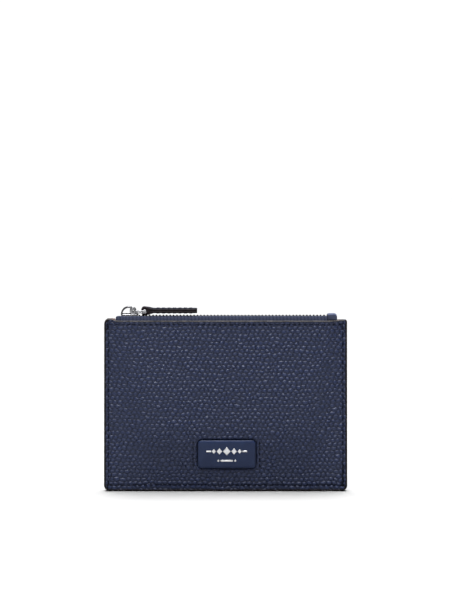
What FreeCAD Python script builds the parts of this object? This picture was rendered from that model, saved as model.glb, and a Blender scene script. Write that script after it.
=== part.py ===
"""Zipped card holder standing on its bottom edge.

A flat leather pouch with a metal zip along its mouth, a padded label on the
front and three stepped card slots on the back.  Millimetres.  X runs along the
zip, Y from the front face (-Y) to the back (+Y), Z up from the bottom edge.
"""
import FreeCAD, Part
import math
import os

# ---------------------------------------------------------------- pouch
WIDTH = 130.0
HEIGHT = 92.0             # bottom edge to the mouth's edge
TOP_NARROWING = 0.35      # each side leans in by this much towards the mouth
CORNER_BOTTOM = 3.2
CORNER_TOP = 2.8
EAR_LEFT = 0.75           # the corner beside the closed slider stands proud
EAR_RIGHT = 0.2
LEATHER = 1.05
LAYER_GAP = 0.05
LINING = 0.3
SEAM_HALF = 1.95          # half thickness at the glued and stitched seam
MOUTH_HALF = 4.4          # half thickness at the mouth
SEAM_BAND = 2.8           # width of the flat seam
BELLY_FRONT = 1.25        # fullness of the front, as a share of the mouth's
BELLY_BACK = 0.45
LINING_TOP = 90.5

# ------------------------------------------------------------ card slots
SLOT_LEATHER = 0.6
SLOT_TOPS = {"upper": 70.0, "middle": 58.0, "lower": 46.0}
SLOT_DEPTH = 46.0

# ------------------------------------------------------------------- zip
ZIP_Z = HEIGHT + 1.2      # mid plane of the teeth
TAPE = 0.4
TAPE_LEFT = -58.5
TAPE_RIGHT = 57.0
TAPE_BOTTOM = 84.5
TAPE_CORNER = 1.1
BEAD_Y = 1.25
BEAD_R = 0.42
TOOTH_PITCH = 1.82
TEETH = 58
FIRST_TOOTH_X = -52.3
TOOTH_HALF_HEIGHT = 1.0
TOOTH_HEAD = 0.78
TOOTH_LEG = 1.0
STOP_GRIP = BEAD_R + 0.08
TOP_STOP_HALF_HEIGHT = 0.75
BOTTOM_STOP_HALF_HEIGHT = 0.95

# ----------------------------------------------------------------- slider
SLIDER_LEFT = -55.7
SLIDER_LENGTH = 9.3
SLIDER_HALF_WIDTH = 2.75
CHANNEL_HALF_WIDTH = 2.15
CHANNEL_HALF_HEIGHT = 1.2
PLATE = 0.7
TAPE_SLOT_HALF = 0.35
BRIDGE_X = -51.5
BRIDGE_R = 4.1
BRIDGE_THICK = 0.65
BRIDGE_HALF_WIDTH = 0.9
LINK_PIVOT = (-49.9, 97.1)
TAB_PIVOT = (-43.0, 96.5)
LINK_WIRE_R = 0.6

# --------------------------------------------------------------- pull tab
TAB_END = -15.1
TAB_HALF_WIDTH = 3.0
TAB_BOTTOM = 95.85
TAB_LOOP_R = 2.05
TAB_NECK_HALF = 1.45
TAB_SHOULDER = -41.5

# --------------------------------------------------------------- zip end tab
END_TAB_LEFT = 54.0
END_TAB_RIGHT = 59.3
END_TAB_TOP = 95.0
END_TAB_BOTTOM = 92.1
END_TAB_HALF_WIDTH = 2.6

# ------------------------------------------------------------------- label
LABEL_X = 0.6
LABEL_BOTTOM = 12.4
LABEL_W = 30.2
LABEL_H = 15.0
LABEL_CORNER = 2.0
LABEL_EDGE = 0.8          # thickness at the label's rim
LABEL_DOME = 0.75         # extra rise at its middle
LABEL_SKIN = 0.7

# --------------------------------------------------------------- stitching
STITCH_PITCH = 3.05
STITCH_LENGTH = 2.3
STITCH_WIDTH = 0.55
STITCH_HEIGHT = 0.3
STITCH_OFFSET = 0.1
SIDE_STITCH = 2.35        # line's distance from the side edges
MOUTH_STITCH = 2.0
BOTTOM_STITCH = 3.4

FAR = 20.0
V = FreeCAD.Vector


def smooth(t):
    t = max(0.0, min(1.0, t))
    return t * t * (3 - 2 * t)


def fullness(z, side):
    """How far the wall stands out at height z, 0 at the seam, 1 at the mouth."""
    rise = smooth((z - SEAM_BAND) / 34.0)
    if side < 0:
        return rise * (BELLY_FRONT + (1 - BELLY_FRONT) * smooth((z - 50.0) / 38.0))
    return rise * (BELLY_BACK + (1 - BELLY_BACK) * smooth((z - 72.0) / 14.0))


def half_thickness(x, z, side):
    """Distance of the pouch's outer face from the mid plane."""
    ramp = 7.2 + 26.0 * max(0.0, 1 - z / HEIGHT)
    across = smooth((WIDTH / 2 - SEAM_BAND - abs(x)) / ramp)
    return SEAM_HALF + (MOUTH_HALF - SEAM_HALF) * fullness(z, side) * across


def surface(height_at, x0, x1, nx, z0, z1, nz):
    """Smooth face through y = height_at(x, z)."""
    rows = []
    for i in range(nx):
        x = x0 + (x1 - x0) * i / (nx - 1)
        rows.append([])
        for k in range(nz):
            z = z0 + (z1 - z0) * k / (nz - 1)
            rows[-1].append(V(x, height_at(x, z), z))
    spline = Part.BSplineSurface()
    spline.interpolate(rows)
    return spline.toShape()


def wall_face(side):
    return surface(
        lambda x, z: side * half_thickness(x, z, side), -68.0, 68.0, 69, -3.0, 99.0, 52
    )


WALLS = {side: wall_face(side) for side in (-1, 1)}


def layer(side, depth, thick):
    """A sheet of even thickness whose outer face lies depth inside the wall's."""
    face = WALLS[side].copy()
    face.translate(V(0, -side * depth, 0))
    return face.extrude(V(0, -side * thick, 0))


def prism(points):
    """Polygon in XZ, extruded through the whole thickness."""
    wire = Part.makePolygon([V(x, -FAR, z) for x, z in points + points[:1]])
    return Part.Face(wire).extrude(V(0, 2 * FAR, 0))


def box(x0, x1, y0, y1, z0, z1):
    return Part.makeBox(x1 - x0, y1 - y0, z1 - z0, V(x0, y0, z0))


def rod(r, x, z, y0, y1):
    """Round bar along Y."""
    return Part.makeCylinder(r, y1 - y0, V(x, y0, z), V(0, 1, 0))


def arc(cx, cz, r, a0, a1, y=-FAR):
    """Arc in XZ; angles in degrees from +X towards +Z."""
    pts = []
    for a in (a0, (a0 + a1) / 2, a1):
        t = math.radians(a)
        pts.append(V(cx + r * math.cos(t), y, cz + r * math.sin(t)))
    return Part.Arc(*pts).toShape()


def rounded_prism(x0, x1, z0, z1, r, y0=-FAR, y1=FAR):
    """Rounded rectangle in XZ, extruded from y0 to y1."""
    solid = box(x0, x1, y0, y1, z0, z1)
    edges = [e for e in solid.Edges if abs(e.tangentAt(e.FirstParameter).y) > 0.9]
    return solid.makeFillet(r, edges)


def outline():
    """The pouch's outline, extruded through the whole thickness."""
    half = WIDTH / 2
    top = half - TOP_NARROWING
    ear_l = HEIGHT + EAR_LEFT
    ear_r = HEIGHT + EAR_RIGHT
    rb = CORNER_BOTTOM
    rt = CORNER_TOP
    edges = [
        arc(half - rb, rb, rb, -90, 0),
        arc(top - rt, ear_r - rt, rt, 0, 90),
        [(60.6, ear_r), (59.6, HEIGHT), (-58.9, HEIGHT), (-60.3, ear_l)],
        arc(-top + rt, ear_l - rt, rt, 90, 180),
        arc(-half + rb, rb, rb, 180, 270),
    ]
    chain = []
    last = None
    for e in edges:
        if isinstance(e, list):
            pieces = [V(x, -FAR, z) for x, z in e]
            for p in pieces:
                chain.append(Part.makeLine(last, p))
                last = p
            continue
        start = e.valueAt(e.FirstParameter)
        if last is not None:
            chain.append(Part.makeLine(last, start))
        chain.append(e)
        last = e.valueAt(e.LastParameter)
    chain.append(Part.makeLine(last, edges[0].valueAt(edges[0].FirstParameter)))
    return Part.Face(Part.Wire(chain)).extrude(V(0, 2 * FAR, 0))


OUTLINE = outline()


def panel(side):
    return layer(side, 0, LEATHER).common(OUTLINE)


def edge_welt():
    """Three leather filler strips glued between the walls: both sides and the bottom."""
    half = SEAM_HALF - LEATHER - LAYER_GAP
    inner = WIDTH / 2 - SEAM_BAND
    spans = (
        (-WIDTH, -inner, -1, 2 * HEIGHT),
        (inner, WIDTH, -1, 2 * HEIGHT),
        (-inner + LAYER_GAP, inner - LAYER_GAP, -1, SEAM_BAND),
    )
    strips = [box(x0, x1, -half, half, z0, z1).common(OUTLINE) for x0, x1, z0, z1 in spans]
    return Part.makeCompound(strips)


def lining(side):
    inner = WIDTH / 2 - SEAM_BAND - 0.3
    low = SEAM_BAND + 0.3
    shape = prism([
        (-inner, low), (inner, low), (inner, HEIGHT + 0.15), (59.6, HEIGHT + 0.15),
        (59.6, LINING_TOP), (-58.7, LINING_TOP), (-58.7, HEIGHT + 0.9),
        (-inner, HEIGHT + 0.6),
    ])
    depth = LEATHER + TAPE + 2 * LAYER_GAP
    return layer(side, depth, LINING).common(shape)


def slot_offset(order, z):
    """Gap-side offset of a strip, which settles inwards below the strips beneath it."""
    step = SLOT_LEATHER + LAYER_GAP
    beneath = list(SLOT_TOPS.values())[:order]
    return LAYER_GAP + sum(step * smooth((z - top + SLOT_DEPTH + 8.0) / 7.5) for top in beneath)


def card_slot(order, top):
    """One stepped strip of the back; order 0 lies against the back wall."""
    bottom = max(-1.0, top - SLOT_DEPTH)
    face = surface(
        lambda x, z: half_thickness(x, z, 1) + slot_offset(order, z),
        -68.0, 68.0, 69, -3.0, 75.0, 53,
    )
    band = box(-WIDTH, WIDTH, -FAR, FAR, bottom, top)
    return face.extrude(V(0, SLOT_LEATHER, 0)).common(OUTLINE).common(band)


def tape(side):
    """Upright tape, its turned-over shelf and the corded edge the teeth hold."""
    depth = LEATHER + LAYER_GAP
    top = ZIP_Z + TAPE / 2
    shape = prism([
        (TAPE_LEFT, TAPE_BOTTOM), (TAPE_RIGHT, TAPE_BOTTOM),
        (TAPE_RIGHT, HEIGHT - 0.2), (END_TAB_LEFT - 0.15, HEIGHT - 0.2),
        (END_TAB_LEFT - 0.15, top), (TAPE_LEFT, top),
    ])
    upright = layer(side, depth, TAPE).common(shape)
    near = sorted((side * BEAD_Y, side * FAR))
    shelf = layer(side, depth, FAR / 2).common(
        box(TAPE_LEFT, END_TAB_LEFT - 0.15, near[0], near[1], top - TAPE, top)
    )
    tail_y = sorted((side * BEAD_Y, side * 2.1))
    tail = box(END_TAB_LEFT - 0.2, TAPE_RIGHT, tail_y[0], tail_y[1], top - TAPE, top)
    bead = Part.makeCylinder(
        BEAD_R, TAPE_RIGHT - TAPE_LEFT, V(TAPE_LEFT, side * BEAD_Y, ZIP_Z), V(1, 0, 0)
    )
    whole = upright.fuse([shelf, tail, bead]).removeSplitter()
    round_off = box(TAPE_LEFT - 1, TAPE_LEFT + TAPE_CORNER, -FAR, FAR,
                    top - TAPE_CORNER, top + 2)
    round_off = round_off.cut(
        rod(TAPE_CORNER, TAPE_LEFT + TAPE_CORNER, top - TAPE_CORNER, -FAR, FAR)
    )
    return whole.cut(round_off)


def tooth(x, side):
    """One zip tooth: two legs that grip the bead and a head that interlocks."""
    h = TOOTH_HALF_HEIGHT
    leg = TOOTH_LEG / 2
    head = TOOTH_HEAD / 2
    legs = box(x - leg, x + leg, 0.75, 2.0, ZIP_Z - h, ZIP_Z + h)
    slot = box(x - leg, x + leg, 0, 3, ZIP_Z - BEAD_R - 0.06, ZIP_Z + BEAD_R + 0.06)
    body = box(x - head, x + head, -0.7, 0.76, ZIP_Z - h, ZIP_Z + h)
    solid = legs.cut(slot).fuse(body.cut(box(x - 1, x + 1, 0.76, 3, 0, 200)))
    solid = solid.removeSplitter()
    if side < 0:
        solid = solid.mirror(V(0, 0, 0), V(0, 1, 0))
    return solid


def teeth(side):
    start = FIRST_TOOTH_X + (TOOTH_PITCH / 2 if side > 0 else 0)
    return Part.makeCompound([tooth(start + i * TOOTH_PITCH, side) for i in range(TEETH)])


def top_stops():
    """Two staples pressed round the corded edges, beyond the closed slider."""
    h = TOP_STOP_HALF_HEIGHT
    back = box(-57.6, -56.1, 0.35, 1.95, ZIP_Z - h, ZIP_Z + h)
    back = back.cut(box(-60, -50, 0.7, 3.0, ZIP_Z - STOP_GRIP, ZIP_Z + STOP_GRIP))
    return Part.makeCompound([back, back.mirror(V(0, 0, 0), V(0, 1, 0))])


def bottom_stop():
    """One staple that joins both tapes at the far end."""
    h = BOTTOM_STOP_HALF_HEIGHT
    solid = box(53.1, 55.3, -1.75, 1.75, ZIP_Z - h, ZIP_Z + h)
    for side in (-1, 1):
        y = sorted((side * 0.6, side * 3.0))
        solid = solid.cut(box(50, 58, y[0], y[1], ZIP_Z - STOP_GRIP, ZIP_Z + STOP_GRIP))
    return solid


def end_tab():
    """Small folded leather tab that caps the zip's far end."""
    hw = END_TAB_HALF_WIDTH
    solid = box(END_TAB_LEFT, END_TAB_RIGHT, -hw, hw, END_TAB_BOTTOM, END_TAB_TOP)
    corner = [
        e for e in solid.Edges
        if abs(e.CenterOfMass.x - END_TAB_RIGHT) < 0.01
        and abs(e.CenterOfMass.z - END_TAB_TOP) < 0.01
    ]
    solid = solid.makeFillet(1.5, corner)
    grip = BEAD_R + 0.1
    solid = solid.cut(box(50, TAPE_RIGHT + 0.15, -2.2, 2.2, ZIP_Z - grip, ZIP_Z + grip))
    return solid.cut(box(50, 55.5, -1.9, 1.9, 90, ZIP_Z + 1.05))


def plate_outline(z0, z1):
    """Slider plate: broad nose on the left, narrower tail on the right."""
    x0 = SLIDER_LEFT
    x1 = SLIDER_LEFT + SLIDER_LENGTH
    hw = SLIDER_HALF_WIDTH
    solid = box(x0, x1, -hw, hw, z0, z1)
    upright = [e for e in solid.Edges if abs(e.tangentAt(e.FirstParameter).z) > 0.9]
    return solid.makeFillet(1.1, upright)


def slider_body():
    """Two plates joined by the wedge that parts the teeth."""
    x0 = SLIDER_LEFT
    x1 = SLIDER_LEFT + SLIDER_LENGTH
    gap = CHANNEL_HALF_HEIGHT
    body = plate_outline(ZIP_Z - gap - PLATE, ZIP_Z + gap + PLATE)
    body = body.cut(box(x0 - 1, x1 + 1, -CHANNEL_HALF_WIDTH, CHANNEL_HALF_WIDTH,
                        ZIP_Z - gap, ZIP_Z + gap))
    body = body.cut(box(x0 - 1, x1 + 1, -FAR, FAR,
                        ZIP_Z - TAPE_SLOT_HALF, ZIP_Z + TAPE_SLOT_HALF))
    wedge_pts = [(x0 + 0.2, 0.35), (x0 + 1.2, 0.72), (x0 + 1.7, 0.72), (x0 + 2.6, 0.2)]
    pts = [V(x, y, ZIP_Z - gap - 0.1) for x, y in wedge_pts]
    pts += [V(x, -y, ZIP_Z - gap - 0.1) for x, y in reversed(wedge_pts)]
    wedge = Part.Face(Part.makePolygon(pts + pts[:1])).extrude(V(0, 0, 2 * gap + 0.2))
    return body.fuse(wedge).removeSplitter()


def slider_bridge():
    """Arch over the slider that the pull link hangs on."""
    base = ZIP_Z + CHANNEL_HALF_HEIGHT + PLATE
    hw = BRIDGE_HALF_WIDTH
    ring = rod(BRIDGE_R, BRIDGE_X, base, -hw, hw)
    ring = ring.cut(rod(BRIDGE_R - BRIDGE_THICK, BRIDGE_X, base, -FAR, FAR))
    return ring.common(box(-FAR - 60, 0, -FAR, FAR, base, base + 10))


def pull_link():
    """Two cheeks with a round eye, joined by a bar at each end."""
    eye_x = LINK_PIVOT[0] + 0.6
    bar = rounded_prism(eye_x, TAB_PIVOT[0] + 1.0, TAB_PIVOT[1] - 0.8,
                        TAB_PIVOT[1] + 0.8, 0.78, 1.6, 2.4)
    cheek = rod(1.75, eye_x, LINK_PIVOT[1] - 0.05, 1.6, 2.4).fuse(bar)
    cheek = cheek.cut(rounded_prism(eye_x + 2.3, TAB_PIVOT[0] - 0.9, TAB_PIVOT[1] - 0.25,
                                    TAB_PIVOT[1] + 0.25, 0.24))
    bars = [rod(LINK_WIRE_R, p[0], p[1], -1.7, 1.7) for p in (LINK_PIVOT, TAB_PIVOT)]
    return cheek.fuse([cheek.mirror(V(0, 0, 0), V(0, 1, 0))] + bars).removeSplitter()


def pull_tab():
    """Leather strap folded round the link's bar and glued to itself."""
    cx, cz = TAB_PIVOT
    top = TAB_BOTTOM + 2 * LEATHER + LAYER_GAP
    mid = (TAB_BOTTOM + top) / 2
    neck = cx + 4.2
    r = TAB_LOOP_R
    inner = r - LEATHER
    outer = rod(r, cx, cz, -FAR, FAR).fuse([
        prism([(cx + 0.5, cz + r - 0.07), (neck, top), (neck, TAB_BOTTOM),
               (cx + 0.5, cz - r + 0.07)]),
        rounded_prism(neck - 0.6, TAB_END, TAB_BOTTOM, top, 0.45),
    ])
    hollow = rod(inner, cx, cz, -FAR, FAR).fuse(
        prism([(cx, cz + inner), (neck - 1.2, mid), (cx, cz - inner)])
    )
    strap = outer.cut(hollow)
    hw = TAB_HALF_WIDTH
    plan = box(TAB_SHOULDER, TAB_END, -hw, hw, 90, 102)
    ends = [
        e for e in plan.Edges
        if abs(e.tangentAt(e.FirstParameter).z) > 0.9 and e.CenterOfMass.x > -20
    ]
    plan = plan.makeFillet(1.6, ends)
    plan = plan.fuse(box(cx - 5, TAB_SHOULDER + 1, -TAB_NECK_HALF, TAB_NECK_HALF, 90, 102))
    return strap.common(plan)


def label_rise(x, z, less=0.0):
    """Height of the padded label above the front wall."""
    u = abs(x - LABEL_X) / (LABEL_W / 2)
    v = abs(z - LABEL_BOTTOM - LABEL_H / 2) / (LABEL_H / 2)
    dome = max(0.0, 1 - u ** 4) * max(0.0, 1 - v ** 2.5)
    return LABEL_EDGE + LABEL_DOME * dome - less


def label_block(less, inset, back):
    """Volume from back above the front wall to the label's face lowered by less."""
    cx = LABEL_X
    cz = LABEL_BOTTOM + LABEL_H / 2
    hw = LABEL_W / 2
    hh = LABEL_H / 2
    face = surface(
        lambda x, z: -half_thickness(x, z, -1) - LAYER_GAP - label_rise(x, z, less),
        cx - hw - 1, cx + hw + 1, 45, cz - hh - 1, cz + hh + 1, 27,
    )
    shape = rounded_prism(cx - hw + inset, cx + hw - inset, cz - hh + inset,
                          cz + hh - inset, max(0.5, LABEL_CORNER - inset))
    block = face.extrude(V(0, 6, 0)).common(shape)
    return block.cut(layer(-1, -back, 8.0))


def label_plaque():
    return label_block(0.0, 0.0, LAYER_GAP).cut(label_block(LABEL_SKIN, 1.2, 0.0))


def label_filler():
    return label_block(LABEL_SKIN + 0.06, 1.3, LAYER_GAP + 0.03)


def tongue_ends():
    """Signed X spans of the label's two tongues, inner edge first."""
    reach = LABEL_W / 2
    return [(LABEL_X + s * (reach - 1.0), LABEL_X + s * (reach + 5.0), s) for s in (-1, 1)]


def slit_box(x_inner, s, grow):
    low = LABEL_BOTTOM + 1.0 - grow
    high = LABEL_BOTTOM + LABEL_H - 1.0 + grow
    x = sorted((x_inner - s * grow, x_inner + s * (0.5 + grow)))
    return box(x[0], x[1], -FAR, 0, low, high)


def label_tongues():
    """Ends of the label, passed through slits and sewn behind the front wall."""
    solids = []
    for x_in, x_out, s in tongue_ends():
        x = sorted((x_in, x_out))
        flap_shape = box(x[0], x[1], -FAR, FAR, LABEL_BOTTOM + 1.0,
                         LABEL_BOTTOM + LABEL_H - 1.0)
        flap = layer(-1, LEATHER + 0.04, 0.4).common(flap_shape)
        riser = layer(-1, 0.0, LEATHER + 0.2).common(slit_box(x_in, s, 0.0))
        solids.append(flap.fuse(riser).removeSplitter())
    return Part.makeCompound(solids)


def front_panel():
    solid = panel(-1)
    for x_in, _, s in tongue_ends():
        solid = solid.cut(slit_box(x_in, s, 0.1))
    return solid


def lozenge(cx, cz, w, h):
    return prism([(cx - w / 2, cz), (cx, cz - h / 2), (cx + w / 2, cz), (cx, cz + h / 2)])


def label_ornament():
    """Foil ornament: a row of lozenges between rules, over a short bar."""
    cz = LABEL_BOTTOM + 9.2
    cutters = [lozenge(LABEL_X, cz, 3.4, 3.8)]
    for s in (-1, 1):
        cutters.append(lozenge(LABEL_X + s * 3.3, cz, 2.2, 2.4))
        cutters.append(lozenge(LABEL_X + s * 5.7, cz, 1.5, 1.6))
        x = sorted((LABEL_X + s * 7.0, LABEL_X + s * 10.6))
        cutters.append(box(x[0], x[1], -FAR, FAR, cz - 0.25, cz + 0.25))
        cutters.append(lozenge(LABEL_X + s * 4.6, cz - 5.4, 0.9, 0.9))
    cutters.append(box(LABEL_X - 3.6, LABEL_X + 3.6, -FAR, FAR, cz - 5.7, cz - 5.1))
    foil = surface(
        lambda x, z: -half_thickness(x, z, -1) - LAYER_GAP - label_rise(x, z) - 0.1,
        LABEL_X - 13, LABEL_X + 13, 41, LABEL_BOTTOM + 1, LABEL_BOTTOM + LABEL_H - 1, 27,
    ).extrude(V(0, 0.08, 0))
    return Part.makeCompound([foil.common(c).Solids[0] for c in cutters])


def stitch(p0, p1, out):
    """Box-shaped stitch from p0 to p1 on a wall facing out, -1 or 1 along Y."""
    run = (p1 - p0).normalize()
    across = V(0, out, 0).cross(run).normalize()
    up = run.cross(across)
    length = p0.distanceToPoint(p1)
    solid = Part.makeBox(length, STITCH_WIDTH, STITCH_HEIGHT,
                         V(-length / 2, -STITCH_WIDTH / 2, 0))
    turn = FreeCAD.Rotation(run, across, up, "XZY")
    solid.Placement = FreeCAD.Placement((p0 + p1) * 0.5, turn)
    return solid


def slot_build_up(z):
    """Thickness of the card-slot leather over the back wall at height z."""
    covers = [
        slot_offset(order, z) + SLOT_LEATHER
        for order, top in enumerate(SLOT_TOPS.values())
        if top - SLOT_DEPTH <= z <= top + 0.3
    ]
    return max(covers, default=0.0)


def face_y(x, z, side):
    """Just outside everything sewn through around a point."""
    reach = STITCH_WIDTH
    near = [
        half_thickness(x + i * reach, z + k * reach, side)
        + (slot_build_up(z + k * reach) if side > 0 else 0.0)
        for i in (-1, 0, 1) for k in (-1, 0, 1)
    ]
    return side * (max(near) + STITCH_OFFSET)


def run_of_stitches(ends, side):
    """Evenly spaced stitches along the straight line between two XZ points."""
    (x0, z0), (x1, z1) = ends
    length = math.hypot(x1 - x0, z1 - z0)
    count = round(length / STITCH_PITCH)
    half = STITCH_LENGTH / 2 / length
    solids = []
    for i in range(count):
        t = (i + 0.5) / count
        pts = []
        for s in (t - half, t + half):
            x = x0 + (x1 - x0) * s
            z = z0 + (z1 - z0) * s
            pts.append([x, face_y(x, z, side), z])
        if side > 0 and abs(pts[0][1] - pts[1][1]) > SLOT_LEATHER / 2:
            pts[0][1] = pts[1][1] = max(pts[0][1], pts[1][1])
        first, last = (V(*p) for p in pts)
        middle = (first + last) * 0.5
        bulge = side * (face_y(middle.x, middle.z, side) - middle.y)
        rise = V(0, side * max(0.0, bulge), 0)
        solids.append(stitch(first + rise, last + rise, side))
    return solids


def seam_stitching(side):
    """The rectangle of stitches that closes one wall."""
    low = WIDTH / 2 - SIDE_STITCH
    high = low - TOP_NARROWING
    zb = BOTTOM_STITCH
    zt = HEIGHT - MOUTH_STITCH
    solids = []
    for ends in (
        ((-low, zb), (low, zb)), ((-high, zt), (high, zt)),
        ((-low, zb), (-high, zt)), ((low, zb), (high, zt)),
    ):
        solids += run_of_stitches(ends, side)
    return Part.makeCompound(solids)


def label_stitching():
    solids = []
    for x in (LABEL_X - LABEL_W / 2 - 2.6, LABEL_X + LABEL_W / 2 + 2.2):
        low = LABEL_BOTTOM - 0.2
        solids += run_of_stitches(((x, low), (x, LABEL_BOTTOM + LABEL_H + 0.2)), -1)
    return Part.makeCompound(solids)


def pull_tab_stitching():
    """Stitches along both long edges of the tab's upper face, and across its end."""
    top = TAB_BOTTOM + 2 * LEATHER + LAYER_GAP
    solids = []
    for y in (-2.1, 2.1):
        for i in range(7):
            x = TAB_END - 3.4 - i * 2.9
            solids.append(box(x - 1.0, x + 1.0, y - 0.22, y + 0.22, top + 0.03, top + 0.23))
            solids.append(box(x - 1.0, x + 1.0, y - 0.22, y + 0.22,
                              TAB_BOTTOM - 0.23, TAB_BOTTOM - 0.03))
    return Part.makeCompound(solids)


def parts():
    made = {
        "front_panel": front_panel(),
        "back_panel": panel(1),
        "edge_welt": edge_welt(),
        "front_lining": lining(-1),
        "back_lining": lining(1),
        "label_plaque": label_plaque(),
        "label_filler": label_filler(),
        "label_tongues": label_tongues(),
        "label_ornament": label_ornament(),
        "label_stitching": label_stitching(),
        "front_stitching": seam_stitching(-1),
        "back_stitching": seam_stitching(1),
        "zip_tape_front": tape(-1),
        "zip_tape_back": tape(1),
        "zip_teeth_front": teeth(-1),
        "zip_teeth_back": teeth(1),
        "zip_top_stops": top_stops(),
        "zip_bottom_stop": bottom_stop(),
        "zip_end_tab": end_tab(),
        "slider_body": slider_body(),
        "slider_bridge": slider_bridge(),
        "pull_link": pull_link(),
        "pull_tab": pull_tab(),
        "pull_tab_stitching": pull_tab_stitching(),
    }
    for order, (name, top) in enumerate(SLOT_TOPS.items()):
        made["card_slot_" + name] = card_slot(order, top)
    return made


os.makedirs("parts", exist_ok=True)
for node, shape in parts().items():
    shape.exportStep("parts/" + node + ".step")
    size = shape.BoundBox
    print(f"{node:20s} solids {len(shape.Solids):3d}  valid {shape.isValid()}  "
          f"x {size.XMin:7.2f} {size.XMax:7.2f}  y {size.YMin:6.2f} {size.YMax:6.2f}  "
          f"z {size.ZMin:6.2f} {size.ZMax:6.2f}")
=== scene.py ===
"""Looks of the zipped card holder. Lengths are in millimetres until mesh_piece()."""
import math
import random

import bmesh
import bpy
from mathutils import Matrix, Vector, noise


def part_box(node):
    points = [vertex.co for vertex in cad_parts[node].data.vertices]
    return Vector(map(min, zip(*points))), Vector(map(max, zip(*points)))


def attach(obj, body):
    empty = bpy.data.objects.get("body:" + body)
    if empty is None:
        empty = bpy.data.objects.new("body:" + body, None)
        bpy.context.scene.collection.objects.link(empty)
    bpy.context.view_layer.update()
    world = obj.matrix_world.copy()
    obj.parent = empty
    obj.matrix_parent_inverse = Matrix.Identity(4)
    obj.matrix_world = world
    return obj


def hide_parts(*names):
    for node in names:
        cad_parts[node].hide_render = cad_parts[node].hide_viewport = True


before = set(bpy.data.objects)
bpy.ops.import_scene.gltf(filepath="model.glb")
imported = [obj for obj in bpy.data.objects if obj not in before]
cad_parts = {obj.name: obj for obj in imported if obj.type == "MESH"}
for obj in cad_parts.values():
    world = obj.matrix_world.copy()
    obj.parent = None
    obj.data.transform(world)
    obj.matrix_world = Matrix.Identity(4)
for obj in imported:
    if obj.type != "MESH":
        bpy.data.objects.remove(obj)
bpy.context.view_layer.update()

MM = 0.001


def span(node):
    """A node's box in millimetres: x0, x1, y0, y1, z0, z1."""
    lo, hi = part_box(node)
    return tuple(v / MM for v in (lo.x, hi.x, lo.y, hi.y, lo.z, hi.z))


# ------------------------------------------------------------------ the pouch's shape
PANEL = span("front_panel")
HALF_W = PANEL[1]
HEIGHT = 92.0
EAR_L = PANEL[5] - HEIGHT
EAR_R = 0.2
NARROWING = 0.35
R_BOTTOM = 3.2
R_TOP = 2.8
R_TOP_RIGHT = 1.3
LEATHER = 1.05
SEAM_HALF = 1.95
MOUTH_HALF = 4.4
SEAM_BAND = 2.8
STRIP = 0.6
GAP = 0.05
SLOT_TOPS = (70.0, 58.0, 46.0)
SLOT_DEPTH = 46.0
ZIP_Z = (span("zip_teeth_front")[4] + span("zip_teeth_front")[5]) / 2
LABEL = span("label_plaque")
LABEL_CX = (LABEL[0] + LABEL[1]) / 2
LABEL_CZ = (LABEL[4] + LABEL[5]) / 2 + 0.35
LABEL_HW = (LABEL[1] - LABEL[0]) / 2 + 0.25
LABEL_HH = (LABEL[5] - LABEL[4]) / 2 + 0.1
LABEL_EDGE = 0.7
LABEL_DOME = 0.34
SIDE_STITCH = 2.35
MOUTH_STITCH = 2.0
BOTTOM_STITCH = 3.4
STITCH_PITCH = 3.05
STITCH_RUN = HEIGHT - MOUTH_STITCH - BOTTOM_STITCH
LABEL_R = 2.0
LABEL_SINK = 0.28
LABEL_SKIRT = 0.12
LABEL_STITCH_X = (LABEL_CX - LABEL_HW - 2.6, LABEL_CX + LABEL_HW + 2.2)
LABEL_STITCH_Z = (LABEL_CZ - LABEL_HH - 0.2, LABEL_CZ + LABEL_HH + 0.2)


def clamp(t):
    return max(0.0, min(1.0, t))


def smooth(t):
    t = clamp(t)
    return t * t * (3 - 2 * t)


def fullness(z, side):
    rise = smooth((z - SEAM_BAND) / 34.0)
    if side < 0:
        return rise * (1.25 - 0.25 * smooth((z - 50.0) / 38.0))
    return rise * (0.45 + 0.55 * smooth((z - 72.0) / 14.0))


def half_thickness(x, z, side):
    ramp = 7.2 + 26.0 * max(0.0, 1 - z / HEIGHT)
    across = smooth((HALF_W - SEAM_BAND - abs(x)) / ramp)
    return SEAM_HALF + (MOUTH_HALF - SEAM_HALF) * fullness(z, side) * across


def slot_offset(order, z):
    beneath = SLOT_TOPS[:order]
    return GAP + sum((STRIP + GAP) * smooth((z - t + SLOT_DEPTH + 8.0) / 7.5) for t in beneath)


def slot_build_up(z):
    covers = [
        slot_offset(order, z) + STRIP
        for order, top in enumerate(SLOT_TOPS)
        if top - SLOT_DEPTH <= z <= top
    ]
    return max(covers, default=0.0)


def mouth_z(x):
    """Height of the top edge, with its two raised corners."""
    left = EAR_L * smooth((-x - 58.9) / 1.4)
    right = EAR_R * smooth((x - 59.6) / 1.0)
    return HEIGHT + left + right


def edge_x(z, side=-1, inset=0.0):
    """Half width of the outline at nominal height z, or of a line inside it."""
    top = HALF_W - NARROWING
    radius = R_TOP if side < 0 else R_TOP_RIGHT
    if z < R_BOTTOM:
        r = R_BOTTOM - inset
        return HALF_W - R_BOTTOM + math.sqrt(max(0.0, r ** 2 - (R_BOTTOM - z) ** 2))
    if z > HEIGHT - radius:
        r = radius - inset
        return top - radius + math.sqrt(max(0.0, r ** 2 - (z - HEIGHT + radius) ** 2))
    return HALF_W - inset - NARROWING * clamp((z - R_BOTTOM) / (HEIGHT - R_TOP - R_BOTTOM))


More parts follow.
